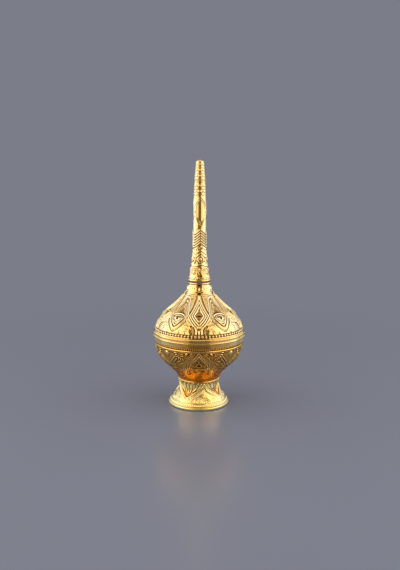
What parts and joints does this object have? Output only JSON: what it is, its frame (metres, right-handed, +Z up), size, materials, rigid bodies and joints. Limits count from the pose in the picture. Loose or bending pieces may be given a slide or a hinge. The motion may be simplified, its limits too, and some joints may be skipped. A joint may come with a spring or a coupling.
{
  "type": "rosewater sprinkler",
  "caption": "Footed, bulbous metal bottle with a tall slender screw-on spout that ends in a pierced sprinkling tip.",
  "frame": {"origin": "centre of the flat underside of the foot, on the surface that the sprinkler stands on", "axes": "+Z up along the axis of the bottle and spout, +X to the right as pictured, +Y away from the viewer"},
  "size_m": [0.0952, 0.0952, 0.25],
  "materials": {
    "gold_plate": "high polish, plated",
    "brass_plain": "turned, unplated",
    "steel": "zinc plated",
    "washer_rubber": "matte"
  },
  "bodies": {
    "vessel": {"foot_rim": "gold_plate", "foot": "gold_plate", "foot_web": "brass_plain", "waist_ring": "gold_plate", "bowl_stud": "brass_plain", "foot_washer": "steel", "foot_nut": "steel", "bowl": "gold_plate", "lap_ring": "brass_plain", "girdle": "gold_plate", "dome": "gold_plate", "neck_collar": "brass_plain"},
    "seal": {"neck_gasket": "washer_rubber"},
    "spout_unit": {"spout_bush": "brass_plain", "spout": "gold_plate", "sprinkler_tip": "gold_plate"}
  },
  "joints": [
    {"name": "spout_lift", "type": "slide", "parent": "vessel", "child": "seal", "axis": [0, 0, 1], "range_m": [0, 0.01]},
    {"name": "spout_turn", "type": "hinge", "parent": "seal", "child": "spout_unit", "pos_m": [0, 0, 0.1293], "axis": [0, 0, 1], "range_deg": [0, 1440]}
  ],
  "couplings": [
    {"joint": "spout_lift", "follows": "spout_turn", "m_per_rad": 0.00039789}
  ]
}
